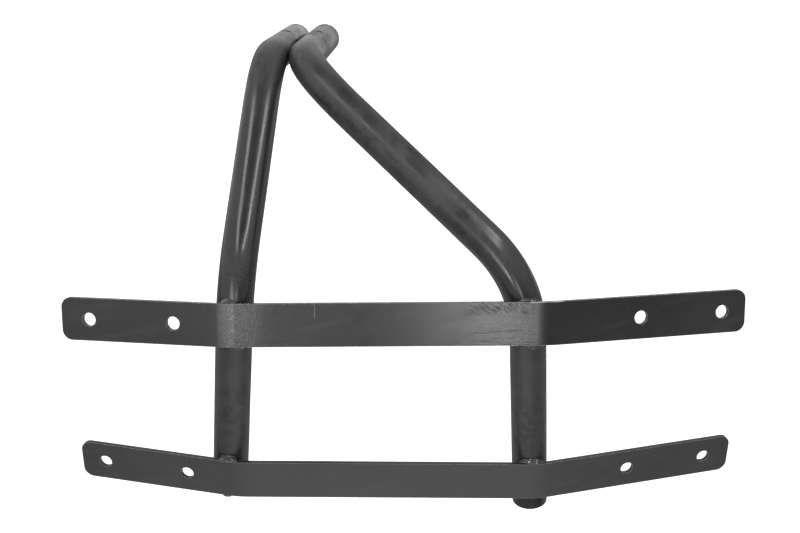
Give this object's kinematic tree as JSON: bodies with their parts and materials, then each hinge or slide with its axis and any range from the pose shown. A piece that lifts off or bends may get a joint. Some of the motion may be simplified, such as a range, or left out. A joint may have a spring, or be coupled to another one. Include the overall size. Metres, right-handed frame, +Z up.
{
  "type": "front grille guard",
  "caption": "Welded front grille guard: bent round tubes sweep up and back side by side, tied by flat straps whose folded wings are drilled for bolts.",
  "frame": {"origin": "middle of the lower strap's back face, half way up the strap", "axes": "+X to the right as seen from in front of the vehicle, +Y back towards the vehicle, +Z up along the lower strap's face"},
  "size_m": [0.7961, 0.5843, 0.5046],
  "materials": {
    "strap_paint": "semi-gloss enamel over flat bar, scuffed",
    "tube_paint": "semi-gloss enamel over bent tube",
    "weld_paint": "enamel over rippled weld bead"
  },
  "bodies": {
    "root": {"upper_strap": "strap_paint", "lower_strap": "strap_paint", "left_tube": "tube_paint", "right_tube": "tube_paint", "upper_left_top_weld": "weld_paint", "upper_left_bottom_weld": "weld_paint", "upper_right_top_weld": "weld_paint", "upper_right_bottom_weld": "weld_paint", "lower_left_top_weld": "weld_paint", "lower_left_bottom_weld": "weld_paint", "lower_right_top_weld": "weld_paint", "lower_right_bottom_weld": "weld_paint", "leg_seam_weld": "weld_paint"}
  },
  "joints": []
}
